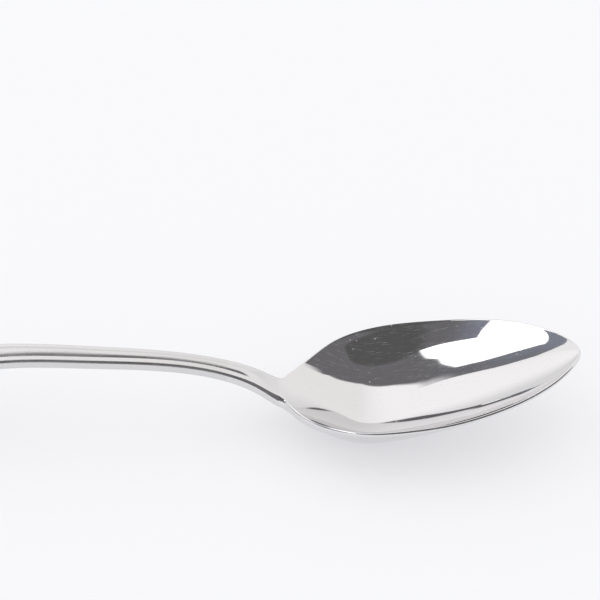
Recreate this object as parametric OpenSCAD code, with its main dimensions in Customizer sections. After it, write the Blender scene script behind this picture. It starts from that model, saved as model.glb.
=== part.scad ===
// A one-piece polished steel teaspoon, lying face up on a table.
// X runs along the spoon, from the end of the handle to the tip of the bowl.
// Y runs across it, and the spoon is symmetric about Y = 0.
// Z = 0 is the table, and X = 0 is half way along the spoon.
// The sub-parts are the zones of one pressed blank, cut where its section changes.

/* [Bowl] */
// Length of the bowl from the shoulder to the tip
bowl_len = 47.7; // [42:0.1:54]
// Greatest width of the bowl over its rim
bowl_w = 30; // [26:0.5:34]
// Thickness of the rim's edge
rim_t = 0.6; // [0.4:0.05:0.9]
// Width of the flat ground along the top of the rim
rim_w = 0.35; // [0.2:0.05:0.6]

/* [Handle] */
// Length of the handle from its end to the shoulder
handle_len = 91.8; // [84:0.1:105]
// Height of the handle's edges above the table at the top of the arch
arch_h = 14.6; // [12:0.2:17]
// Thickness of the handle at its edges
edge_t = 1.6; // [1.2:0.05:2]
// Rise of the crown between the ledges
crown_h = 0.45; // [0.2:0.05:0.7]
// Width of the flat ledge along each edge
ledge_w = 0.65; // [0.4:0.05:0.9]
// Rounding of the edges
edge_r = 0.55; // [0.2:0.05:0.7]
// Thickness of the neck at its edges where it ends at the shoulder
shoulder_t = 1.65; // [1.4:0.05:2]
// Rounding of the edges where the neck ends at the shoulder
shoulder_r = 1.1; // [0.5:0.05:1.3]
// Swell of the underside along its middle
belly_h = 0.2; // [0:0.05:0.4]

/* [Zones] */
// Length of the flared end of the handle
end_len = 34; // [28:1:40]
// Length of the neck between the stem and the bowl
neck_len = 8; // [6:0.5:12]

/* [Hidden] */

// Places along the handle as shares of its length, counted from its end,
// with the half width there as shares of half the bowl's width
handle_place_shares = [0, 0.03, 0.09, 0.2, 0.36, 0.52, 0.675, 0.826, 0.917, 0.967, 1];
handle_width_shares = [0, 0.31, 0.46, 0.42, 0.27, 0.18, 0.155, 0.136, 0.146, 0.175, 0.207];
// The height of the handle's edges along it, as shares of the arch
arch_place_shares = [0, 0.08, 0.2, 0.34, 0.53, 0.675, 0.826, 0.917, 0.967, 1];
arch_height_shares = [0.112, 0.24, 0.5, 0.79, 1, 0.974, 0.897, 0.768, 0.632, 0.5];
// Places along the bowl as shares of its length, counted from the shoulder,
// with the half width there as shares of half the bowl's width
bowl_place_shares = [0, 0.021, 0.055, 0.113, 0.18, 0.261, 0.43, 0.606, 0.803, 0.921, 0.976, 1];
bowl_width_shares = [0.207, 0.253, 0.399, 0.622, 0.806, 0.935, 1, 0.945, 0.728, 0.445, 0.221, 0];
// The heights of the rim and of both faces of the keel, as shares of the arch
rim_place_shares = [0, 0.04, 0.1, 0.172, 0.28, 0.409, 0.56, 0.704, 0.9, 1];
rim_height_shares = [0.5, 0.464, 0.462, 0.513, 0.569, 0.627, 0.69, 0.773, 0.885, 0.943];
keel_place_shares = [0, 0.06, 0.12, 0.18, 0.24, 0.369, 0.507, 0.704, 0.862, 1];
keel_under_shares = [0.344, 0.23, 0.13, 0.052, -0.0015, 0.046, 0.19, 0.425, 0.648, 0.9];
keel_inner_shares = [0.5, 0.404, 0.299, 0.2, 0.125, 0.13, 0.266, 0.503, 0.73, 0.943];
// How full the bowl is across: 0 is a parabola
fullness = 0.3;
// The boxy underside of the neck fades out over this share of the bowl
shoulder_share = 0.16;
// How square the neck's underside is where the bowl takes it over
box_power = 8;
// How square the crown's shoulders are
crown_power = 3;
// The crown fades out over these shares of the handle, before the shoulder
crown_fade_shares = [0.93, 0.985];

centre_x = (bowl_len - handle_len) / 2;
stem_start = end_len - handle_len;
neck_start = -neck_len;
// The first and last sections stand this share of the length inside the ends
nose_share = 0.0006;
probe = nose_share * handle_len;
end_stations = 22;
stem_stations = 26;
neck_stations = 10;
bowl_stations = 52;
half_steps = 9;
crown_steps = 6;
round_steps = 3;

// A natural cubic spline through points: its knots, values and second derivatives
function swept(x, y, i = 1, c = [0], d = [0]) =
    i == len(x) - 1 ? [c, d] :
    let (
        before = x[i] - x[i - 1],
        after = x[i + 1] - x[i],
        bend = 6 * ((y[i + 1] - y[i]) / after - (y[i] - y[i - 1]) / before),
        pivot = 2 * (before + after) - before * c[i - 1]
    )
    swept(x, y, i + 1, concat(c, [after / pivot]),
          concat(d, [(bend - before * d[i - 1]) / pivot]));
function solved(c, d, i, m) =
    i < 0 ? m : solved(c, d, i - 1, concat([d[i] - c[i] * m[0]], m));
function spline(x, y) =
    let (rows = swept(x, y))
    [x, y, solved(rows[0], rows[1], len(x) - 2, [0])];

// The value of a spline at u
function span(x, u, i = 0) = i >= len(x) - 2 || u <= x[i + 1] ? i : span(x, u, i + 1);
function at(s, u) =
    let (
        i = span(s[0], u),
        h = s[0][i + 1] - s[0][i],
        b = (u - s[0][i]) / h,
        a = 1 - b
    )
    a * s[1][i] + b * s[1][i + 1]
    + ((pow(a, 3) - a) * s[2][i] + (pow(b, 3) - b) * s[2][i + 1]) * h * h / 6;

// Widths are splined as squares, so that the ends come out round
function squared(shares) = [for (s = shares) pow(s, 2)];
handle_width = spline(handle_place_shares, squared(handle_width_shares));
arch = spline(arch_place_shares, arch_height_shares);
bowl_width = spline(bowl_place_shares, squared(bowl_width_shares));
rim = spline(rim_place_shares, rim_height_shares);
keel_under = spline(keel_place_shares, keel_under_shares);
keel_inner = spline(keel_place_shares, keel_inner_shares);

// Shares along the handle and the bowl of a place x, where the shoulder is at 0
function along_handle(x) = 1 + x / handle_len;
function along_bowl(x) = x / bowl_len;
function handle_half(x) = sqrt(max(0, at(handle_width, along_handle(x)))) * bowl_w / 2;
function bowl_half(x) = sqrt(max(0, at(bowl_width, along_bowl(x)))) * bowl_w / 2;
function edge_z(x) = at(arch, along_handle(x)) * arch_h;
function rim_z(x) = at(rim, along_bowl(x)) * arch_h;
function under_z(x) = at(keel_under, along_bowl(x)) * arch_h;
function inner_z(x) = min(rim_z(x), at(keel_inner, along_bowl(x)) * arch_h);

// A thing of thickness t is this much thicker upright where the handle slopes
function slope(x) = (edge_z(x + probe) - edge_z(x - probe)) / (2 * probe);
function upright(x, t) = t * sqrt(1 + pow(slope(x), 2));

// How much of the crown is left at x
function crown_left(x) =
    let (u = (along_handle(x) - crown_fade_shares[0])
             / (crown_fade_shares[1] - crown_fade_shares[0]))
    0.5 + 0.5 * cos(180 * min(1, max(0, u)));

// How near x is to the shoulder, from 0 to 1, along the neck and along the bowl
function on_neck(x) = pow(max(0, 1 + x / neck_len), 2);
function on_bowl(x) = pow(max(0, 1 - along_bowl(x) / shoulder_share), 2);

// The edges' rounding and thickness grow towards the shoulder
function rounding(x) = edge_r + (shoulder_r - edge_r) * on_neck(x);
function thickness(x) = edge_t + (shoulder_t - edge_t) * on_neck(x);

// Half of the handle's section, from the middle of its top round to the middle of its underside
function handle_side(x) =
    let (
        half = handle_half(x),
        top = edge_z(x),
        bottom = top - upright(x, thickness(x)),
        r = min(rounding(x), half / 3),
        crown_half = half - r - min(ledge_w, half / 3) + edge_r / 2,
        rise = crown_h * crown_left(x) * min(1, half / ledge_w / 3)
    )
    concat(
        [for (i = [0:crown_steps])
            let (v = i / crown_steps)
            [crown_half * v, top + rise * (1 - pow(v, crown_power))]],
        [for (i = [0:round_steps])
            let (a = 90 * i / round_steps)
            [half - r + r * sin(a), top - r + r * cos(a)]],
        [for (i = [0:round_steps])
            let (a = 90 * i / round_steps)
            [half - r + r * cos(a), bottom + r - r * sin(a)]],
        [for (i = [1:round_steps])
            let (v = 1 - i / round_steps)
            [(half - r) * v, bottom - belly_h * (1 - v * v)]]
    );

// The bowl's section from 0 at the keel to 1 at the rim, and its underside by the shoulder
function hollow(v) = v * v * (1 + fullness * v * v) / (1 + fullness);
function outside(x, v) = hollow(v) + (pow(v, box_power) - hollow(v)) * on_bowl(x);

// Half of the bowl's section, in the same order
function bowl_side(x) =
    let (
        half = bowl_half(x),
        hollow_half = max(half - rim_w, half / 2),
        top = rim_z(x),
        floor_z = inner_z(x),
        keel = under_z(x),
        edge = top - rim_t - (shoulder_t - rim_t) / 2 * on_bowl(x)
    )
    concat(
        [for (i = [0:half_steps])
            let (v = i / half_steps)
            [hollow_half * v, floor_z + (top - floor_z) * hollow(v)]],
        [[half, top], [half, edge]],
        [for (i = [1:half_steps])
            let (v = 1 - i / half_steps)
            [half * v, keel + (edge - keel) * outside(x, v)]]
    );

// A whole section: the half and its mirror, kept on or above the table
function ring(x, side) =
    let (n = len(side))
    [for (p = concat(side, [for (i = [n - 2:-1:1]) [-side[i][0], side[i][1]]]))
        [x - centre_x, p[0], max(0, p[1])]];

// A solid skin over sections that all have as many points, each end a fan about its middle
module skin(rings) {
    n = len(rings[0]);
    last = len(rings) - 1;
    middles = [for (k = [0, last]) (rings[k][0] + rings[k][n / 2]) / 2];
    start_middle = n * (last + 1);
    end_middle = start_middle + 1;
    walls = [for (k = [0:last - 1]) for (i = [0:n - 1])
        let (j = (i + 1) % n)
        each [
            [k * n + i, (k + 1) * n + i, (k + 1) * n + j],
            [k * n + i, (k + 1) * n + j, k * n + j]
        ]];
    start_cap = [for (i = [0:n - 1]) [start_middle, i, (i + 1) % n]];
    end_cap = [for (i = [0:n - 1]) [end_middle, last * n + (i + 1) % n, last * n + i]];
    polyhedron(points = concat([for (r = rings) each r], middles),
               faces = concat(walls, start_cap, end_cap));
}

// Places from one to the other, closer together at the first, the last or neither
function even(from, to, n) = [for (k = [0:n]) from + (to - from) * k / n];
function close_first(from, to, n) = [for (k = [0:n]) from + (to - from) * pow(k / n, 2)];
function close_last(from, to, n) = [for (k = [0:n]) to + (from - to) * pow(1 - k / n, 2)];

module handle_end() {
    color([0.78, 0.79, 0.8])
    skin([for (x = close_first(-handle_len * (1 - nose_share), stem_start, end_stations))
        ring(x, handle_side(x))]);
}

module stem() {
    color([0.8, 0.81, 0.82])
    skin([for (x = even(stem_start, neck_start, stem_stations)) ring(x, handle_side(x))]);
}

module neck() {
    color([0.76, 0.77, 0.79])
    skin([for (x = even(neck_start, 0, neck_stations)) ring(x, handle_side(x))]);
}

module bowl() {
    color([0.84, 0.85, 0.86])
    skin([for (x = close_last(0, bowl_len * (1 - nose_share), bowl_stations))
        ring(x, bowl_side(x))]);
}

handle_end();
stem();
neck();
bowl();
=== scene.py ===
"""A one-piece polished steel teaspoon, lying face up on a pale table.

Lengths are in metres. The spoon's own x is 0 at the shoulder, where the neck
meets the bowl. The handle runs to negative x and the bowl to positive x, and
SpoonShape.centre_x moves the whole to the frame of the CAD model.
"""

import enum
import logging
import math
from collections.abc import Callable, Sequence
from dataclasses import dataclass, field

import bmesh
import bpy
import numpy as np
from mathutils import Matrix, Vector


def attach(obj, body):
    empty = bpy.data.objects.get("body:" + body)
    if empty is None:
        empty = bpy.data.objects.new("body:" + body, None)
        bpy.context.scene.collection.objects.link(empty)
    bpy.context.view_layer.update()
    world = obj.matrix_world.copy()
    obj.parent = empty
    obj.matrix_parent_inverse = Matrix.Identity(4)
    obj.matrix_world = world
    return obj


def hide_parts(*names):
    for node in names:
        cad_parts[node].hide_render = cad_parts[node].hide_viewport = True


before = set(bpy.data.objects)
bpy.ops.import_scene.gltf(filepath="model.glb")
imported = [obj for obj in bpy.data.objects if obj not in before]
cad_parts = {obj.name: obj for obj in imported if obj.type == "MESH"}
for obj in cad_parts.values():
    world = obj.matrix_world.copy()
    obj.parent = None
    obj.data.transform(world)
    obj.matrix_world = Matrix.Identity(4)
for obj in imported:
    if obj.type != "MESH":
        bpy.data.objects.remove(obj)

LOG = logging.getLogger("teaspoon")

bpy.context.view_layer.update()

MM = 0.001

Colour = tuple[float, float, float]


# Curves and the spoon's sizes


class Curve:
    """A natural cubic spline through given points."""

    def __init__(self, places: Sequence[float], values: Sequence[float]) -> None:
        """Solve the spline.

        Args:
            places: Where the points are, rising.
            values: The value at each place.
        """
        self.places = np.array(places, dtype=float)
        self.values = np.array(values, dtype=float)
        steps = np.diff(self.places)
        slopes = np.diff(self.values) / steps
        count = len(places)
        rows = np.eye(count)
        right = np.zeros(count)
        for i in range(1, count - 1):
            rows[i, i - 1] = steps[i - 1]
            rows[i, i] = 2 * (steps[i - 1] + steps[i])
            rows[i, i + 1] = steps[i]
            right[i] = 6 * (slopes[i] - slopes[i - 1])
        self.bends = np.linalg.solve(rows, right)

    def at(self, place: float) -> float:
        """Return the spline's value at a place."""
        i = int(np.clip(np.searchsorted(self.places, place) - 1, 0, len(self.places) - 2))
        step = self.places[i + 1] - self.places[i]
        b = (place - self.places[i]) / step
        a = 1 - b
        bend = (a**3 - a) * self.bends[i] + (b**3 - b) * self.bends[i + 1]
        return float(a * self.values[i] + b * self.values[i + 1] + bend * step * step / 6)


def eased(share: float) -> float:
    """Return a share from 0 to 1 with a soft start and a soft end."""
    u = min(1.0, max(0.0, share))
    return u * u * (3 - 2 * u)


def mixed(a: float, b: float, share: float) -> float:
    """Return the value that lies a share of the way from a to b."""
    return a + (b - a) * share


@dataclass(frozen=True)
class Bridge:
    """A line of the handle and a line of the bowl, joined smoothly over the shoulder."""

    handle: Callable[[float], float]
    bowl: Callable[[float], float]
    before: float
    after: float

    def at(self, x: float) -> float:
        """Return the line's value at x."""
        if x <= -self.before:
            return self.handle(x)
        if x >= self.after:
            return self.bowl(x)
        step = 0.02 * MM
        start = self.handle(-self.before)
        stop = self.bowl(self.after)
        length = self.before + self.after
        leave = (start - self.handle(-self.before - step)) / step * length
        arrive = (self.bowl(self.after + step) - stop) / step * length
        u = (x + self.before) / length
        bend = (leave * (1 - u) - arrive * u) * u * (1 - u)
        return mixed(start, stop, eased(u)) + bend


@dataclass(frozen=True)
class SpoonShape:
    """The spoon's sizes, and the shape of its section anywhere along it."""

    bowl_len: float = 47.7 * MM
    bowl_w: float = 30.0 * MM
    rim_t: float = 0.6 * MM
    rim_w: float = 0.35 * MM
    rim_r: float = 0.32 * MM
    rim_under_r: float = 0.14 * MM
    handle_len: float = 91.8 * MM
    arch_h: float = 14.6 * MM
    edge_t: float = 1.6 * MM
    shoulder_t: float = 1.65 * MM
    crown_h: float = 0.45 * MM
    flank_w: float = 1.5 * MM
    flank_power: float = 1.7
    ledge_w: float = 0.65 * MM
    edge_r: float = 0.55 * MM
    shoulder_r: float = 1.1 * MM
    under_share: float = 0.8
    narrow_w: float = 1.2 * MM
    belly_h: float = 0.2 * MM
    neck_len: float = 8.0 * MM
    end_len: float = 34.0 * MM
    fullness: float = 0.3
    shoulder_share: float = 0.16
    box_power: float = 8.0
    step_x: float = 0.7 * MM
    step_run: float = 0.8 * MM
    crown_fade: tuple[float, float] = (0.93, 0.985)
    tip_gap: float = 0.001 * MM
    edge_blend: tuple[float, float] = (2.0 * MM, 1.8 * MM)
    middle_blend: tuple[float, float] = (2.5 * MM, 2.0 * MM)
    keel_blend: tuple[float, float] = (2.0 * MM, 2.0 * MM)

    handle_places: tuple[float, ...] = (
        0, 0.03, 0.09, 0.2, 0.36, 0.52, 0.675, 0.826, 0.917, 0.967, 1)
    handle_widths: tuple[float, ...] = (
        0, 0.31, 0.46, 0.42, 0.27, 0.18, 0.155, 0.136, 0.146, 0.175, 0.207)
    arch_places: tuple[float, ...] = (0, 0.08, 0.2, 0.34, 0.53, 0.675, 0.826, 0.917, 0.967, 1)
    arch_heights: tuple[float, ...] = (
        0.112, 0.24, 0.5, 0.79, 1, 0.974, 0.897, 0.768, 0.632, 0.5)
    bowl_places: tuple[float, ...] = (
        0, 0.021, 0.055, 0.113, 0.18, 0.261, 0.43, 0.606, 0.803, 0.921, 0.976, 1)
    bowl_widths: tuple[float, ...] = (
        0.207, 0.253, 0.399, 0.622, 0.806, 0.935, 1, 0.945, 0.728, 0.445, 0.221, 0)
    rim_places: tuple[float, ...] = (0, 0.04, 0.1, 0.172, 0.28, 0.409, 0.56, 0.704, 0.9, 1)
    rim_heights: tuple[float, ...] = (
        0.5, 0.464, 0.462, 0.513, 0.569, 0.627, 0.69, 0.773, 0.885, 0.943)
    keel_places: tuple[float, ...] = (
        0, 0.06, 0.12, 0.18, 0.24, 0.369, 0.507, 0.704, 0.862, 1)
    keel_unders: tuple[float, ...] = (
        0.344, 0.23, 0.13, 0.052, -0.0015, 0.046, 0.19, 0.425, 0.648, 0.9)
    keel_inners: tuple[float, ...] = (
        0.5, 0.404, 0.299, 0.2, 0.125, 0.13, 0.266, 0.503, 0.73, 0.943)

    @property
    def centre_x(self) -> float:
        """Where the frame's origin lies in the spoon's own x."""
        return (self.bowl_len - self.handle_len) / 2

    @property
    def stem_x(self) -> float:
        """Where the handle end meets the stem."""
        return self.end_len - self.handle_len

    @property
    def neck_x(self) -> float:
        """Where the stem meets the neck."""
        return -self.neck_len

    def on_neck(self, x: float) -> float:
        """Return how near x is to the shoulder along the neck, from 0 to 1."""
        return min(1.0, max(0.0, 1 + x / self.neck_len)) ** 2

    def on_bowl(self, x: float) -> float:
        """Return how near x is to the shoulder along the bowl, from 0 to 1."""
        return max(0.0, 1 - max(0.0, x) / self.bowl_len / self.shoulder_share) ** 2


class SpoonLines:
    """The lines that run along the spoon, worked out once from its sizes."""

    outline_steps = 4000
    inset_digits = 7

    def __init__(self, shape: SpoonShape) -> None:
        """Work out the outline, the edge line, the middle line and the keel.

        Args:
            shape: The spoon's sizes.
        """
        self.shape = shape
        half_w = shape.bowl_w / 2
        self.handle_width = Curve(shape.handle_places, tuple(w * w for w in shape.handle_widths))
        self.bowl_width = Curve(shape.bowl_places, tuple(w * w for w in shape.bowl_widths))
        along_handle = [(p - 1) * shape.handle_len for p in shape.arch_places]
        along_rim = [p * shape.bowl_len for p in shape.rim_places]
        along_keel = [p * shape.bowl_len for p in shape.keel_places]
        self.arch = Curve(along_handle, [h * shape.arch_h for h in shape.arch_heights])
        rim = Curve(along_rim, [h * shape.arch_h for h in shape.rim_heights])
        inner = Curve(along_keel, [h * shape.arch_h for h in shape.keel_inners])
        under = Curve(along_keel, [h * shape.arch_h for h in shape.keel_unders])
        self.edge = Bridge(self.arch.at, rim.at, *shape.edge_blend)
        self.middle = Bridge(self.arch.at, inner.at, *shape.middle_blend)
        self.keel = Bridge(self.blank_under, under.at, *shape.keel_blend)
        self.outline_x, self.outline_y = self.plan_outline(half_w)
        self.insets: dict[float, tuple[np.ndarray, np.ndarray]] = {}

    def plan_outline(self, half_w: float) -> tuple[np.ndarray, np.ndarray]:
        """Trace half of the outline seen from above, closely spaced at both ends.

        Args:
            half_w: Half of the bowl's greatest width.

        Returns:
            The places along the spoon and the half width at each.
        """
        shape = self.shape
        turns = np.linspace(0, math.pi, self.outline_steps)
        span = shape.bowl_len + shape.handle_len
        xs = -shape.handle_len + span * (1 - np.cos(turns)) / 2
        ys = []
        for x in xs:
            if x < 0:
                square = self.handle_width.at(1 + x / shape.handle_len)
            else:
                square = self.bowl_width.at(x / shape.bowl_len)
            ys.append(math.sqrt(max(0.0, square)) * half_w)
        return xs, np.array(ys)

    def half(self, x: float, inset: float = 0.0) -> float:
        """Return the half width at x of the outline drawn this far inside itself."""
        key = round(inset, self.inset_digits)
        if key not in self.insets:
            across_x = np.gradient(self.outline_x)
            across_y = np.gradient(self.outline_y)
            size = np.hypot(across_x, across_y)
            moved_x = self.outline_x + key * across_y / size
            moved_y = self.outline_y - key * across_x / size
            order = np.argsort(moved_x, kind="stable")
            self.insets[key] = (moved_x[order], moved_y[order])
        xs, ys = self.insets[key]
        return max(0.0, float(np.interp(x, xs, ys, left=0.0, right=0.0)))

    def edge_z(self, x: float) -> float:
        """Return the height of the handle's edges or of the bowl's rim."""
        return self.edge.at(x)

    def blank_h(self, x: float) -> float:
        """Return the upright height of the handle's side at x."""
        shape = self.shape
        step = 0.05 * MM
        slope = (self.arch.at(x + step) - self.arch.at(x - step)) / (2 * step)
        blank_t = mixed(shape.edge_t, shape.shoulder_t, shape.on_neck(x))
        return blank_t * math.sqrt(1 + slope**2)

    def blank_under(self, x: float) -> float:
        """Return the height of the handle's underside along its middle at x."""
        return self.arch.at(x) - self.blank_h(x) - self.shape.belly_h

    def side_h(self, x: float) -> float:
        """Return the upright height of the spoon's side at x."""
        blank_h = self.blank_h(min(x, 0.0))
        return mixed(self.shape.rim_t, blank_h, self.shape.on_bowl(x))

    def top_r(self, x: float) -> float:
        """Return the rounding of the top edge, which ends suddenly after the shoulder."""
        shape = self.shape
        on_handle = mixed(shape.edge_r, shape.shoulder_r, shape.on_neck(min(x, 0.0)))
        return mixed(on_handle, shape.rim_r, eased((x - shape.step_x) / shape.step_run))

    def under_r(self, x: float) -> float:
        """Return the rounding of the edge underneath."""
        shape = self.shape
        return mixed(shape.rim_under_r, shape.edge_r * shape.under_share, shape.on_bowl(x))


class SectionMaker:
    """Draws the closed section loop of the spoon at any place along it."""

    middle_steps = 10
    flank_steps = 10
    ledge_steps = 5
    round_steps = 6
    side_steps = 3
    under_steps = 20
    top_r_share = 0.6
    under_r_share = 0.3
    least_hollow_share = 0.5
    brim_share = 0.93
    middle_share = 0.66
    spread_x = -3.0 * MM
    spread_run = 5.0 * MM
    tiny = 0.001 * MM

    def __init__(self, lines: SpoonLines) -> None:
        """Keep the lines that the sections hang on.

        Args:
            lines: The spoon's lines.
        """
        self.lines = lines
        self.shape = lines.shape

    def hollow(self, v: float) -> float:
        """Return the bowl's rise across it, from 0 at the keel to 1 at the rim."""
        full = self.shape.fullness
        return v * v * (1 + full * v * v) / (1 + full)

    def crown(self, x: float, y: float) -> float:
        """Return how far the crown stands over the ledges at a place.

        Args:
            x: The place along the spoon.
            y: The distance from the middle line.

        Returns:
            The height over the edge line.
        """
        shape = self.shape
        passed = 1 + x / shape.handle_len - shape.crown_fade[0]
        left = 1 - eased(passed / (shape.crown_fade[1] - shape.crown_fade[0]))
        if left <= 0:
            return 0.0
        foot = self.lines.half(x, shape.edge_r + shape.ledge_w)
        head = max(0.0, foot - shape.flank_w)
        narrow = min(1.0, foot / shape.narrow_w)
        if foot <= 0:
            return 0.0
        share = min(1.0, max(0.0, (y - head) / (foot - head)))
        return shape.crown_h * left * narrow * (1 - share**shape.flank_power)

    def top_z(self, x: float, y: float) -> float:
        """Return the height of the upper face at a place."""
        lines = self.lines
        edge = lines.edge_z(x)
        middle = lines.middle.at(x)
        least = self.least_hollow_share * lines.half(x)
        hollow_half = max(lines.half(x, self.shape.rim_w), least, self.tiny)
        v = min(1.0, y / hollow_half)
        if x > 0:
            middle = min(middle, edge)
        return edge + (middle - edge) * (1 - self.hollow(v)) + self.crown(x, y)

    def under_z(self, x: float, v: float, side_foot: float) -> float:
        """Return the height of the underside.

        Args:
            x: The place along the spoon.
            v: The share of the way from the middle to the side.
            side_foot: The height at which the underside meets the side.

        Returns:
            The height over the table.
        """
        shape = self.shape
        keel = min(self.lines.keel.at(x), side_foot)
        box = v ** shape.box_power
        if x < 0:
            form = mixed(v * v, box, shape.on_neck(x))
        else:
            form = mixed(self.hollow(v), box, shape.on_bowl(x))
        return keel + (side_foot - keel) * form

    def top_places(self, x: float, r: float) -> list[float]:
        """Return the points' distances from the middle line on the upper face."""
        shape = self.shape
        lines = self.lines
        reach = lines.half(x, r)
        foot = min(reach, lines.half(x, shape.edge_r + shape.ledge_w))
        head = max(0.0, foot - shape.flank_w)
        inner = min(reach, lines.half(x, shape.rim_w))
        brim = inner * self.brim_share
        share = eased((x - self.spread_x) / self.spread_run)
        middle = mixed(head, brim * self.middle_share, share)
        stops = [middle, mixed(foot, brim, share), reach]
        counts = [self.middle_steps, self.flank_steps, self.ledge_steps]
        places = [0.0]
        for stop, count in zip(stops, counts):
            start = places[-1]
            for i in range(1, count + 1):
                places.append(mixed(start, stop, i / count))
        return places

    def half_loop(self, x: float) -> list[tuple[float, float]]:
        """Draw half of the section, from the top's middle round to the keel.

        Args:
            x: The place along the spoon.

        Returns:
            Pairs of distance from the middle line and height.
        """
        lines = self.lines
        shape = self.shape
        to_end = max(0.0, min(shape.bowl_len - x, x + shape.handle_len))
        edge = lines.edge_z(x)
        top_r = min(lines.top_r(x), lines.side_h(x) * self.top_r_share)
        under_r = min(lines.under_r(x), lines.side_h(x) * self.under_r_share)
        foot = edge - lines.side_h(x)
        points = []
        top_drop = self.drop(top_r, min(top_r, to_end))
        for y in self.top_places(x, top_r):
            points.append((y, self.top_z(x, y) - top_drop))
        for i in range(1, self.round_steps + 1):
            inset = top_r * (1 - math.sin(math.pi / 2 * i / self.round_steps))
            drop = self.drop(top_r, min(inset, to_end))
            points.append((lines.half(x, inset), edge - drop))
        high = points[-1][1]
        low = foot + under_r
        for i in range(1, self.side_steps + 1):
            points.append((lines.half(x), mixed(high, low, i / self.side_steps)))
        for i in range(1, self.round_steps + 1):
            inset = under_r * (1 - math.cos(math.pi / 2 * i / self.round_steps))
            drop = self.drop(under_r, min(inset, to_end))
            points.append((lines.half(x, inset), foot + drop))
        reach = points[-1][0]
        seat = points[-1][1]
        for i in range(1, self.under_steps + 1):
            v = 1 - i / self.under_steps
            points.append((reach * v, self.under_z(x, v, seat)))
        return points

    @staticmethod
    def drop(r: float, inset: float) -> float:
        """Return how far a rounding of radius r has dropped this far inside the edge."""
        left = r - min(r, inset)
        return r - math.sqrt(max(0.0, r * r - left * left))

    def loop(self, x: float) -> np.ndarray:
        """Draw the whole section in the CAD model's frame, no lower than the table."""
        half = self.half_loop(x)
        mirror = [(-y, z) for y, z in reversed(half[1:-1])]
        placed = [(x - self.shape.centre_x, y, max(0.0, z)) for y, z in half + mirror]
        return np.array(placed)


# Making the pieces


def put(name: str, data: bpy.types.Mesh | bpy.types.Camera) -> bpy.types.Object:
    """Make an object of a mesh or a camera and link it to the scene."""
    thing = bpy.data.objects.new(name, data)
    bpy.context.scene.collection.objects.link(thing)
    return thing


@dataclass(frozen=True)
class Stretch:
    """A run of section places along the spoon."""

    start: float
    stop: float
    steps: int
    close_at_start: bool = False
    close_at_stop: bool = False

    def places(self) -> list[float]:
        """Return the places, closer together at an end that closes."""
        found = []
        for i in range(self.steps + 1):
            u = i / self.steps
            if self.close_at_start:
                u = u * u
            if self.close_at_stop:
                u = 1 - (1 - u) ** 2
            found.append(mixed(self.start, self.stop, u))
        return found


class SkinMaker:
    """Draws a closed skin through section loops, with a cap at each end."""

    weld = 1e-8

    def __init__(self, name: str) -> None:
        """Start an empty skin.

        Args:
            name: The piece's name.
        """
        self.name = name
        self.bm = bmesh.new()
        self.row = self.bm.verts.layers.int.new("row")
        self.seat = self.bm.verts.layers.int.new("seat")
        self.edges: list[bmesh.types.BMEdge] = []

    def place(self, verts: list[bmesh.types.BMVert], row: int, loop: np.ndarray) -> None:
        """Move a loop of vertices to its section."""
        for vert in verts:
            vert[self.row] = row
            vert.co = Vector(loop[vert[self.seat]])

    def begin(self, loop: np.ndarray) -> None:
        """Draw the first loop and close it with a cap."""
        made = bmesh.ops.create_circle(self.bm, segments=len(loop), radius=1.0)
        verts = made["verts"]
        for seat, vert in enumerate(verts):
            vert[self.seat] = seat
        self.edges = list(self.bm.edges)
        self.place(verts, 0, loop)
        self.cap(self.edges)

    def extend(self, row: int, loop: np.ndarray) -> None:
        """Extrude the last loop to the next section."""
        made = bmesh.ops.extrude_edge_only(self.bm, edges=self.edges)
        verts = [g for g in made["geom"] if isinstance(g, bmesh.types.BMVert)]
        fresh = set(verts)
        edges = [g for g in made["geom"] if isinstance(g, bmesh.types.BMEdge)]
        self.edges = [e for e in edges if e.verts[0] in fresh and e.verts[1] in fresh]
        self.place(verts, row, loop)

    def cap(self, edges: list[bmesh.types.BMEdge]) -> None:
        """Close a loop with a fan about its middle."""
        made = bmesh.ops.contextual_create(self.bm, geom=edges)
        fan = bmesh.ops.poke(self.bm, faces=made["faces"])
        for vert in fan["verts"]:
            vert[self.row] = -1
        for face in fan["faces"]:
            face.smooth = False

    def finish(self, first_row: int, normals: np.ndarray) -> bpy.types.Object:
        """Close the skin and make the piece, with the whole spoon's smooth normals.

        Args:
            first_row: The row of the whole spoon at which this piece starts.
            normals: The whole spoon's normals, by row and seat.

        Returns:
            The piece, linked to the scene.
        """
        self.cap(self.edges)
        bm = self.bm
        bmesh.ops.remove_doubles(bm, verts=bm.verts[:], dist=self.weld)
        bmesh.ops.recalc_face_normals(bm, faces=bm.faces[:])
        bm.normal_update()
        wanted = []
        for face in bm.faces:
            middle = any(loop.vert[self.row] < 0 for loop in face.loops)
            face.smooth = not middle
            for loop in face.loops:
                if middle:
                    wanted.append(face.normal.copy())
                else:
                    vert = loop.vert
                    wanted.append(Vector(normals[first_row + vert[self.row], vert[self.seat]]))
        mesh = bpy.data.meshes.new(self.name)
        bm.to_mesh(mesh)
        bm.free()
        mesh.normals_split_custom_set([tuple(n) for n in wanted])
        return put(self.name, mesh)


# Nodes of materials


Socket = bpy.types.NodeSocket


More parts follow.
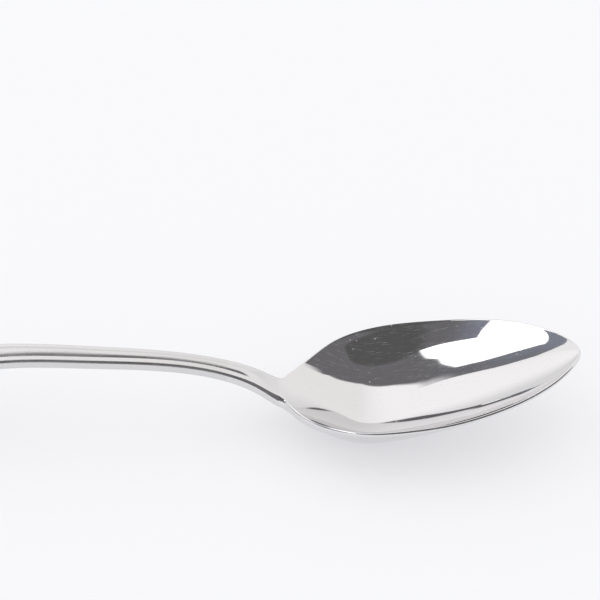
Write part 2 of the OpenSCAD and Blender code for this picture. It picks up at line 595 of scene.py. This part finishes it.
class NodeDesk:
    """Places and joins nodes in one tree."""

    columns = 8
    column_w = 180
    row_h = 260
    colour_a = 6
    colour_b = 7
    colour_out = 2

    def __init__(self, tree: bpy.types.NodeTree) -> None:
        """Keep the tree.

        Args:
            tree: The node tree to work in.
        """
        self.tree = tree
        self.count = 0

    @classmethod
    def cleared(cls, owner: bpy.types.Material | bpy.types.World) -> "NodeDesk":
        """Return a desk on the emptied nodes of a material or of a world."""
        owner.use_nodes = True
        owner.node_tree.nodes.clear()
        return cls(owner.node_tree)

    def add(self, kind: str, **settings: object) -> bpy.types.Node:
        """Place a node and set its properties."""
        node = self.tree.nodes.new(kind)
        row, column = divmod(self.count, self.columns)
        node.location = (self.column_w * column, -self.row_h * row)
        self.count += 1
        for key, value in settings.items():
            setattr(node, key, value)
        return node

    def join(self, source: Socket, target: Socket) -> None:
        """Join two sockets."""
        self.tree.links.new(source, target)

    def feed(self, value: Socket | float | Colour, target: Socket) -> None:
        """Join a socket to an input, or set the input to a number or a colour."""
        if isinstance(value, Socket):
            self.join(value, target)
        elif isinstance(value, tuple):
            target.default_value = (*value, 1.0)
        else:
            target.default_value = value

    def math(self, kind: str, first: Socket, second: Socket | float) -> Socket:
        """Place a Math node on a socket and a socket or number."""
        node = self.add("ShaderNodeMath", operation=kind)
        self.join(first, node.inputs[0])
        self.feed(second, node.inputs[1])
        return node.outputs[0]

    def ramp(
        self, source: Socket, low: float, high: float, to: tuple[float, float] = (0.0, 1.0)
    ) -> Socket:
        """Map a value softly from one range to another.

        Args:
            source: The value.
            low: Where the range starts.
            high: Where the range ends.
            to: What low and high become.

        Returns:
            The mapped value.
        """
        node = self.add("ShaderNodeMapRange", interpolation_type="SMOOTHSTEP")
        self.join(source, node.inputs["Value"])
        self.feed(low, node.inputs["From Min"])
        self.feed(high, node.inputs["From Max"])
        self.feed(to[0], node.inputs["To Min"])
        self.feed(to[1], node.inputs["To Max"])
        return node.outputs["Result"]

    def noise(
        self, place: Socket, scale: Socket | float, detail: float = 2.0, roughness: float = 0.5
    ) -> Socket:
        """Place a noise texture.

        Args:
            place: Where the noise is looked up.
            scale: How fine the noise is.
            detail: How many finer layers it has.
            roughness: How strong those layers are.

        Returns:
            The noise's value.
        """
        node = self.add("ShaderNodeTexNoise")
        self.join(place, node.inputs["Vector"])
        self.feed(scale, node.inputs["Scale"])
        self.feed(detail, node.inputs["Detail"])
        self.feed(roughness, node.inputs["Roughness"])
        return node.outputs[0]

    def mix(self, share: Socket, first: Socket | Colour, second: Socket | Colour) -> Socket:
        """Mix two colours and return the mixed colour."""
        node = self.add("ShaderNodeMix", data_type="RGBA")
        self.join(share, node.inputs[0])
        self.feed(first, node.inputs[self.colour_a])
        self.feed(second, node.inputs[self.colour_b])
        return node.outputs[self.colour_out]

    def blend(self, share: Socket, first: Socket, second: Socket) -> Socket:
        """Blend two shaders and return the blended shader."""
        node = self.add("ShaderNodeMixShader")
        for source, target in zip((share, first, second), node.inputs):
            self.join(source, target)
        return node.outputs[0]


def new_group(name: str, inputs: dict[str, float], outputs: list[str]) -> tuple[
    bpy.types.NodeTree, NodeDesk, bpy.types.Node, bpy.types.Node
]:
    """Start a shader node group whose sockets are all plain values.

    Args:
        name: The group's name.
        inputs: The inputs' names and their usual values.
        outputs: The outputs' names.

    Returns:
        The group, a desk to build it on, and its input and output nodes.
    """
    tree = bpy.data.node_groups.new(name, "ShaderNodeTree")
    for label, value in inputs.items():
        socket = tree.interface.new_socket(
            name=label, in_out="INPUT", socket_type="NodeSocketFloat")
        socket.default_value = value
    for label in outputs:
        tree.interface.new_socket(name=label, in_out="OUTPUT", socket_type="NodeSocketFloat")
    desk = NodeDesk(tree)
    return tree, desk, desk.add("NodeGroupInput"), desk.add("NodeGroupOutput")


class WearGroups:
    """The effects that every zone of the steel shares, each built once.

    Each of the scratch_runs gives the turn of one run of scratches, in radians,
    and how far its scratches are drawn out.
    """

    scratch_runs = ((0.15, 45.0), (1.1, 60.0), (-0.6, 70.0), (2.3, 50.0))
    scratch_shift = (0.31, 0.017)
    scratch_scale = 180.0
    scratch_roughness = 0.6
    scratch_range = (0.64, 0.72)
    cloud_scale = 90.0
    cloud_detail = 4.0
    speck_scale = 900.0
    speck_range = (0.08, 0.2)
    cluster_scale = 300.0
    cluster_range = (0.5, 0.6)
    wave_scale = 120.0

    def __init__(self) -> None:
        """Build the groups."""
        self.scratches = self.build_scratches()
        self.polish = self.build_polish()

    def build_scratches(self) -> bpy.types.NodeTree:
        """Build fine hair scratches that run in a few directions.

        Returns:
            The group, whose outputs are a mask of the scratches and their height.
        """
        tree, desk, given, out = new_group(
            "hair_scratches", {"Fineness": 1.0, "Amount": 0.5}, ["Mask", "Height"])
        coords = desk.add("ShaderNodeTexCoord")
        scale = desk.math("MULTIPLY", given.outputs["Fineness"], self.scratch_scale)
        along, across = self.scratch_shift
        total = None
        for turn, stretch in self.scratch_runs:
            mapping = desk.add("ShaderNodeMapping")
            mapping.inputs["Rotation"].default_value = (0.0, 0.0, turn)
            mapping.inputs["Scale"].default_value = (1.0, stretch, 0.0)
            mapping.inputs["Location"].default_value = (along * turn, across * stretch, 0.0)
            desk.join(coords.outputs["Object"], mapping.inputs["Vector"])
            noise = desk.noise(
                mapping.outputs["Vector"], scale, roughness=self.scratch_roughness)
            line = desk.ramp(noise, *self.scratch_range)
            total = line if total is None else desk.math("MAXIMUM", total, line)
        mask = desk.math("MULTIPLY", total, given.outputs["Amount"])
        height = desk.math("MULTIPLY", mask, -1.0)
        desk.join(mask, out.inputs["Mask"])
        desk.join(height, out.inputs["Height"])
        return tree

    def build_polish(self) -> bpy.types.NodeTree:
        """Build the faint unevenness that polishing and wiping leave.

        Returns:
            The group, whose outputs are a soft cloud, specks and a slow waviness.
        """
        tree, desk, given, out = new_group(
            "polish_marks", {"Specks": 0.5}, ["Cloud", "Specks", "Wave"])
        place = desk.add("ShaderNodeTexCoord").outputs["Object"]
        cloud = desk.noise(place, self.cloud_scale, detail=self.cloud_detail)
        spots = desk.add("ShaderNodeTexVoronoi", feature="F1")
        desk.join(place, spots.inputs["Vector"])
        desk.feed(self.speck_scale, spots.inputs["Scale"])
        near = desk.ramp(spots.outputs["Distance"], *self.speck_range, (1.0, 0.0))
        chosen = desk.ramp(desk.noise(place, self.cluster_scale), *self.cluster_range)
        found = desk.math("MULTIPLY", near, chosen)
        specks = desk.math("MULTIPLY", found, given.outputs["Specks"])
        wave = desk.noise(place, self.wave_scale, detail=0.0)
        desk.join(cloud, out.inputs["Cloud"])
        desk.join(specks, out.inputs["Specks"])
        desk.join(wave, out.inputs["Wave"])
        return tree


@dataclass(frozen=True)
class SteelFinish:
    """How one zone of the polished steel looks."""

    name: str
    colour: Colour
    roughness: float = 0.05
    scratch_fineness: float = 1.0
    scratch_amount: float = 0.5
    specks: float = 0.5
    scratch_depth: float = 0.4
    wave_depth: float = 0.02
    mark_metal: float = 0.55
    mark_roughness: float = 0.13
    cloud_range: tuple[float, float] = (0.3, 0.7)
    cloud_shares: tuple[float, float] = (0.7, 1.4)
    dim_share: float = 0.975
    bump_strength: float = 0.05
    bump_distance: float = 0.02 * MM

    def make(self, wear: WearGroups) -> bpy.types.Material:
        """Make the material.

        Args:
            wear: The shared effects.

        Returns:
            The finished material.
        """
        material = bpy.data.materials.new(self.name)
        desk = NodeDesk.cleared(material)
        shader = desk.add("ShaderNodeBsdfPrincipled")
        output = desk.add("ShaderNodeOutputMaterial")
        desk.join(shader.outputs[0], output.inputs["Surface"])
        scratches = desk.add("ShaderNodeGroup", node_tree=wear.scratches)
        desk.feed(self.scratch_fineness, scratches.inputs["Fineness"])
        desk.feed(self.scratch_amount, scratches.inputs["Amount"])
        polish = desk.add("ShaderNodeGroup", node_tree=wear.polish)
        desk.feed(self.specks, polish.inputs["Specks"])
        cloud = polish.outputs["Cloud"]
        marks = desk.math("MAXIMUM", scratches.outputs["Mask"], polish.outputs["Specks"])
        spread = tuple(self.roughness * share for share in self.cloud_shares)
        clouded = desk.ramp(cloud, *self.cloud_range, spread)
        rough = desk.math("ADD", clouded, desk.math("MULTIPLY", marks, self.mark_roughness))
        desk.join(rough, shader.inputs["Roughness"])
        metal = desk.ramp(marks, 0.0, 1.0, (1.0, self.mark_metal))
        desk.join(metal, shader.inputs["Metallic"])
        dim = tuple(c * self.dim_share for c in self.colour)
        desk.join(desk.mix(cloud, dim, self.colour), shader.inputs["Base Color"])
        height = desk.math("MULTIPLY", scratches.outputs["Height"], self.scratch_depth)
        wave = desk.math("MULTIPLY", polish.outputs["Wave"], self.wave_depth)
        bump = desk.add("ShaderNodeBump")
        desk.feed(self.bump_strength, bump.inputs["Strength"])
        desk.feed(self.bump_distance, bump.inputs["Distance"])
        desk.join(desk.math("ADD", height, wave), bump.inputs["Height"])
        desk.join(bump.outputs["Normal"], shader.inputs["Normal"])
        return material


# The spoon


class Zone(enum.Enum):
    """The zones of the pressed blank, named as the CAD nodes are."""

    HANDLE_END = "handle_end"
    STEM = "stem"
    NECK = "neck"
    BOWL = "bowl"


@dataclass
class Teaspoon:
    """The whole spoon: one smooth skin, cut into the blank's four zones."""

    no_area = 1e-16

    shape: SpoonShape = field(default_factory=SpoonShape)
    bowl_steel: SteelFinish = SteelFinish(
        "bowl_steel", (0.76, 0.755, 0.76), roughness=0.03, scratch_amount=0.6, specks=0.8,
        scratch_fineness=1.5, scratch_depth=0.02, wave_depth=0.0)
    # Painted shade: the neck's and handle's steel colours are darker than the bowl's, to darken
    # the reflections on the stem's sides, though the spoon is one steel throughout.
    neck_steel: SteelFinish = SteelFinish(
        "neck_steel", (0.74, 0.735, 0.74), roughness=0.14, scratch_amount=0.5, specks=0.5)
    handle_steel: SteelFinish = SteelFinish(
        "handle_steel", (0.72, 0.715, 0.715), roughness=0.24, scratch_amount=0.4, specks=0.4)

    def stretches(self) -> dict[Zone, list[Stretch]]:
        """Return the runs of sections that make each zone."""
        shape = self.shape
        start = -shape.handle_len + shape.tip_gap
        tip = shape.bowl_len - shape.tip_gap
        brow = 3.0 * MM
        return {
            Zone.HANDLE_END: [Stretch(start, shape.stem_x, steps=70, close_at_start=True)],
            Zone.STEM: [Stretch(shape.stem_x, shape.neck_x, steps=100)],
            Zone.NECK: [Stretch(shape.neck_x, 0.0, steps=64)],
            Zone.BOWL: [
                Stretch(0.0, brow, steps=30),
                Stretch(brow, tip, steps=130, close_at_stop=True),
            ],
        }

    def finish_of(self, zone: Zone) -> SteelFinish:
        """Return the finish of a zone."""
        if zone is Zone.BOWL:
            return self.bowl_steel
        if zone is Zone.NECK:
            return self.neck_steel
        return self.handle_steel

    def build(self) -> dict[Zone, bpy.types.Object]:
        """Build the zones as pieces that share their section loops where they meet.

        Returns:
            The pieces by zone.
        """
        maker = SectionMaker(SpoonLines(self.shape))
        loops: list[np.ndarray] = []
        spans: dict[Zone, tuple[int, int]] = {}
        for zone, runs in self.stretches().items():
            first = max(0, len(loops) - 1)
            for run in runs:
                places = run.places()
                if loops:
                    places = places[1:]
                loops.extend(maker.loop(x) for x in places)
            spans[zone] = (first, len(loops) - 1)
        normals = self.smooth_normals(np.array(loops))
        pieces = {}
        for zone, (first, last) in spans.items():
            skin = SkinMaker(zone.value + "_skin")
            skin.begin(loops[first])
            for row in range(first + 1, last + 1):
                skin.extend(row - first, loops[row])
            pieces[zone] = skin.finish(first, normals)
        return pieces

    @staticmethod
    def smooth_normals(points: np.ndarray) -> np.ndarray:
        """Work out the whole spoon's smooth normals from its grid of points.

        Args:
            points: Places by row and seat.

        Returns:
            Outward unit normals by row and seat, or zero where the grid closes up.
        """
        along = np.gradient(points, axis=0)
        around = np.roll(points, -1, axis=1) - np.roll(points, 1, axis=1)
        normals = np.cross(along, around)
        size = np.linalg.norm(normals, axis=2, keepdims=True)
        flat = size < Teaspoon.no_area
        normals = np.where(flat, 0.0, normals / np.where(flat, 1.0, size))
        middle = points.mean(axis=1, keepdims=True)
        if float(np.sum(normals * (points - middle))) < 0:
            normals = -normals
        return normals

    def dress(self, pieces: dict[Zone, bpy.types.Object]) -> None:
        """Give every piece its material and its place in the frame.

        Args:
            pieces: The pieces by zone.
        """
        wear = WearGroups()
        made: dict[str, bpy.types.Material] = {}
        for zone, piece in pieces.items():
            finish = self.finish_of(zone)
            if finish.name not in made:
                made[finish.name] = finish.make(wear)
            piece.data.materials.append(made[finish.name])
            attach(piece, "root")
            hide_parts(zone.value)
            LOG.info("%s: %d faces, %s", piece.name, len(piece.data.polygons), finish.name)


# The room, the table and the camera


@dataclass(frozen=True)
class Patch:
    """A flat-edged patch of the room, seen from the spoon.

    Each corner is a direction: x to the right, y away from the camera, z up.
    The colour may fade to far_colour between two shares of the direction's x.
    """

    name: str
    corners: tuple[tuple[float, float, float], ...]
    colour: Colour
    softness: float = 0.004
    far_colour: Colour | None = None
    fade: tuple[float, float] = (0.0, 1.0)

    def sides(self) -> list[Vector]:
        """Return the planes through the spoon that bound the patch, facing inwards."""
        middle = Vector((0.0, 0.0, 0.0))
        for corner in self.corners:
            middle += Vector(corner).normalized()
        found = []
        count = len(self.corners)
        for i in range(count):
            a = Vector(self.corners[i])
            b = Vector(self.corners[(i + 1) % count])
            side = a.cross(b).normalized()
            found.append(side if side.dot(middle) > 0 else -side)
        return found


@dataclass(frozen=True)
class Room:
    """The light around the spoon and what its polish reflects."""

    low_light: float = 1.15
    high_light: float = 0.96
    pale: Colour = (1.1, 1.08, 1.1)
    white: Colour = (1.0, 1.0, 1.0)
    backdrop: Colour = (0.94, 0.94, 0.955)
    patches: tuple[Patch, ...] = (
        Patch("dark_room", ((1.0, 0.0, 0.0), (-0.78, 1.25, 1.0), (-1.35, 0.6, 1.0),
                            (-1.4, 0.0, 1.0), (0.1, -1.0, 0.0), (1.0, -1.0, -0.3)),
              (0.175, 0.17, 0.178), far_colour=(0.26, 0.28, 0.335), fade=(-0.38, -0.56)),
        Patch("dark_left", ((-1.0, -0.9, 1.0), (-1.3, 0.3, 1.0), (-1.0, 0.1, 0.3),
                            (-1.0, -0.6, 0.3)),
              (0.25, 0.25, 0.26)),
        Patch("dark_figure", ((0.7, -0.6, 1.0), (0.49, -0.3, 1.0), (-0.36, -0.13, 1.0),
                              (-0.36, -0.3, 1.0), (-0.3, -0.6, 1.0), (-0.2, -0.83, 1.0),
                              (0.0, -0.92, 1.0), (0.3, -0.85, 1.0), (0.52, -0.76, 1.0)),
              (0.115, 0.112, 0.112), softness=0.03),
        Patch("right_side", ((-0.78, 1.156, 1.0), (-0.84, 1.01, 1.0), (-0.94, 0.88, 1.0),
                             (-1.07, 0.79, 1.0), (-1.3, 0.66, 1.0), (-3.0, 1.5, 1.0),
                             (-1.0, 3.0, 1.0)),
              (1.07, 1.06, 1.06)),
        Patch("far_right", ((-0.5, 0.705, 1.0), (-0.78, 1.156, 1.0), (-0.3, 1.0, 0.0),
                            (0.2, 1.0, 0.0)),
              (1.17, 1.15, 1.16), far_colour=(1.07, 1.06, 1.06), fade=(-0.39, -0.5)),
        Patch("far_left", ((0.91, 0.25, 1.0), (0.91, 0.5, 1.0), (1.0, 0.8, 0.0),
                           (1.0, 0.1, 0.0)),
              (1.0, 0.985, 0.98), softness=0.02),
        Patch("far_side", ((1.0, 0.7, 0.0), (0.9, 0.36, 1.0), (0.7, 0.262, 1.0),
                           (0.43, 0.18, 1.0), (0.16, 0.16, 1.0), (-0.17, 0.27, 1.0),
                           (-0.34, 0.36, 1.0), (-0.45, 0.49, 1.0), (-0.51, 0.61, 1.0),
                           (-0.54, 0.74, 1.0), (-0.15, 1.0, 0.0), (0.3, 1.0, -0.5)),
              (1.01, 0.995, 0.985), softness=0.02, far_colour=(1.17, 1.15, 1.16),
              fade=(0.25, -0.3)),
        Patch("low_shade", ((-1.0, 0.3, 0.09), (1.0, 0.3, 0.09), (1.0, 0.3, -0.3),
                            (-1.0, 0.3, -0.3)),
              (0.86, 0.855, 0.86), softness=0.15),
        Patch("window", ((-0.367, -0.155, 1.0), (-0.53, 0.53, 1.0), (-0.6, 0.62, 1.0),
                         (-0.79, 0.79, 1.0), (-0.92, 0.48, 1.0), (-0.93, 0.34, 1.0)),
              (1.9, 1.9, 1.9), softness=0.003),
        Patch("window_top", ((-0.55, 0.2, 1.0), (-0.575, 0.05, 1.0), (-0.61, -0.09, 1.0),
                             (-0.67, -0.22, 1.0), (-0.8, -0.45, 1.0), (-0.97, -0.1, 1.0),
                             (-0.96, 0.3, 1.0), (-0.92, 0.48, 1.0), (-0.8, 0.6, 1.0)),
              (1.9, 1.9, 1.9), softness=0.003),
        Patch("low_window", ((-1.0, 0.3, 0.5), (-1.0, 0.11, 0.5), (-1.0, 0.11, 0.2),
                             (-1.0, 0.3, 0.2)),
              (1.7, 1.7, 1.7), softness=0.02),
    )

    def build(self) -> None:
        """Build the world: plain light for the table, and the room for the polish."""
        world = bpy.data.worlds.new("room")
        bpy.context.scene.world = world
        desk = NodeDesk.cleared(world)
        out = desk.add("ShaderNodeOutputWorld")
        direction = desk.add("ShaderNodeTexCoord").outputs["Generated"]
        apart = desk.add("ShaderNodeSeparateXYZ")
        desk.join(direction, apart.inputs[0])
        overhead = desk.ramp(apart.outputs[2], 0.0, 1.0, (self.low_light, self.high_light))
        layers = self.patch_layers(desk, direction, apart.outputs[0])
        plain = self.light(desk, self.white, overhead)
        room = self.light(desk, layers, 1.0)
        seen = self.light(desk, self.backdrop, 1.0)
        path = desk.add("ShaderNodeLightPath")
        around = desk.blend(path.outputs["Is Glossy Ray"], plain, room)
        whole = desk.blend(path.outputs["Is Camera Ray"], around, seen)
        desk.join(whole, out.inputs["Surface"])

    @staticmethod
    def light(desk: NodeDesk, colour: Socket | Colour, strength: Socket | float) -> Socket:
        """Place a light of the world and return its shader."""
        node = desk.add("ShaderNodeBackground")
        desk.feed(colour, node.inputs["Color"])
        desk.feed(strength, node.inputs["Strength"])
        return node.outputs[0]

    def patch_layers(self, desk: NodeDesk, direction: Socket, sideways: Socket) -> Socket:
        """Lay the patches over the pale room.

        Args:
            desk: The world's desk.
            direction: The direction that is looked in.
            sideways: That direction's x.

        Returns:
            The room's colour in that direction.
        """
        colour: Socket | Colour = self.pale
        for patch in self.patches:
            mask = None
            for side in patch.sides():
                dot = desk.add("ShaderNodeVectorMath", operation="DOT_PRODUCT")
                desk.join(direction, dot.inputs[0])
                dot.inputs[1].default_value = side
                inside = desk.ramp(dot.outputs["Value"], -patch.softness, patch.softness)
                mask = inside if mask is None else desk.math("MULTIPLY", mask, inside)
            own: Socket | Colour = patch.colour
            if patch.far_colour is not None:
                passed = desk.ramp(sideways, *patch.fade)
                own = desk.mix(passed, patch.colour, patch.far_colour)
            colour = desk.mix(mask, colour, own)
        return colour


@dataclass(frozen=True)
class Table:
    """The plain pale table."""

    size: float = 6.0
    colour: Colour = (0.94, 0.94, 0.96)
    glow: Colour = (0.94, 0.94, 0.965)
    glow_share: float = 0.45
    mirrored_share: float = 0.45

    def build(self) -> None:
        """Build the table top and its plain white."""
        bm = bmesh.new()
        bmesh.ops.create_grid(bm, x_segments=2, y_segments=2, size=self.size / 2)
        mesh = bpy.data.meshes.new("table")
        bm.to_mesh(mesh)
        bm.free()
        table = put("table", mesh)
        material = bpy.data.materials.new("table_white")
        desk = NodeDesk.cleared(material)
        out = desk.add("ShaderNodeOutputMaterial")
        shader = desk.add("ShaderNodeBsdfDiffuse")
        desk.feed(self.colour, shader.inputs["Color"])
        glow = desk.add("ShaderNodeEmission")
        desk.feed(self.glow, glow.inputs["Color"])
        path = desk.add("ShaderNodeLightPath")
        seen = desk.math("MULTIPLY", path.outputs["Is Camera Ray"], self.glow_share)
        mirrored = desk.math("MULTIPLY", path.outputs["Is Glossy Ray"], self.mirrored_share)
        share = desk.math("MAXIMUM", seen, mirrored)
        top = desk.blend(share, shader.outputs[0], glow.outputs[0])
        desk.join(top, out.inputs["Surface"])
        mesh.materials.append(material)


@dataclass(frozen=True)
class Viewpoint:
    """The camera, which looks down at the spoon as the photo does."""

    elevation: float = math.radians(34.0)
    turn: float = math.radians(1.0)
    distance: float = 520.0 * MM
    pixels_per_mm: float = 6.3
    frame_px: float = 600.0
    anchor_height: float = 7.1 * MM
    anchor_px: tuple[float, float] = (278.6, 388.0)
    sensor_w: float = 36.0
    clip: tuple[float, float] = (0.01, 20.0)

    def build(self, shape: SpoonShape) -> None:
        """Place the camera so that the shoulder appears where the photo shows it.

        Args:
            shape: The spoon's sizes.
        """
        right = Vector((math.cos(self.turn), -math.sin(self.turn), 0.0))
        level = Vector((math.sin(self.turn), math.cos(self.turn), 0.0))
        down = Vector((0.0, 0.0, -1.0))
        ahead = level * math.cos(self.elevation) + down * math.sin(self.elevation)
        up = level * math.sin(self.elevation) - down * math.cos(self.elevation)
        per_px = MM / self.pixels_per_mm
        middle = self.frame_px / 2
        anchor = Vector((-shape.centre_x, 0.0, self.anchor_height))
        target = anchor + right * (middle - self.anchor_px[0]) * per_px
        target += up * (self.anchor_px[1] - middle) * per_px
        data = bpy.data.cameras.new("camera")
        data.sensor_width = self.sensor_w
        data.lens = self.pixels_per_mm * self.distance / MM / self.frame_px * self.sensor_w
        data.clip_start, data.clip_end = self.clip
        camera = put("camera", data)
        rows = (right, up, -ahead)
        facing = Matrix([[rows[c][r] for c in range(3)] for r in range(3)]).to_4x4()
        camera.matrix_world = Matrix.Translation(target - ahead * self.distance) @ facing
        bpy.context.scene.camera = camera


def main() -> None:
    """Build the spoon, the table, the light and the camera."""
    logging.basicConfig(level=logging.INFO, format="%(message)s")
    bpy.context.scene.view_settings.view_transform = "Standard"
    spoon = Teaspoon()
    Viewpoint().build(spoon.shape)
    Table().build()
    Room().build()
    spoon.dress(spoon.build())


if __name__ == "__main__":
    main()
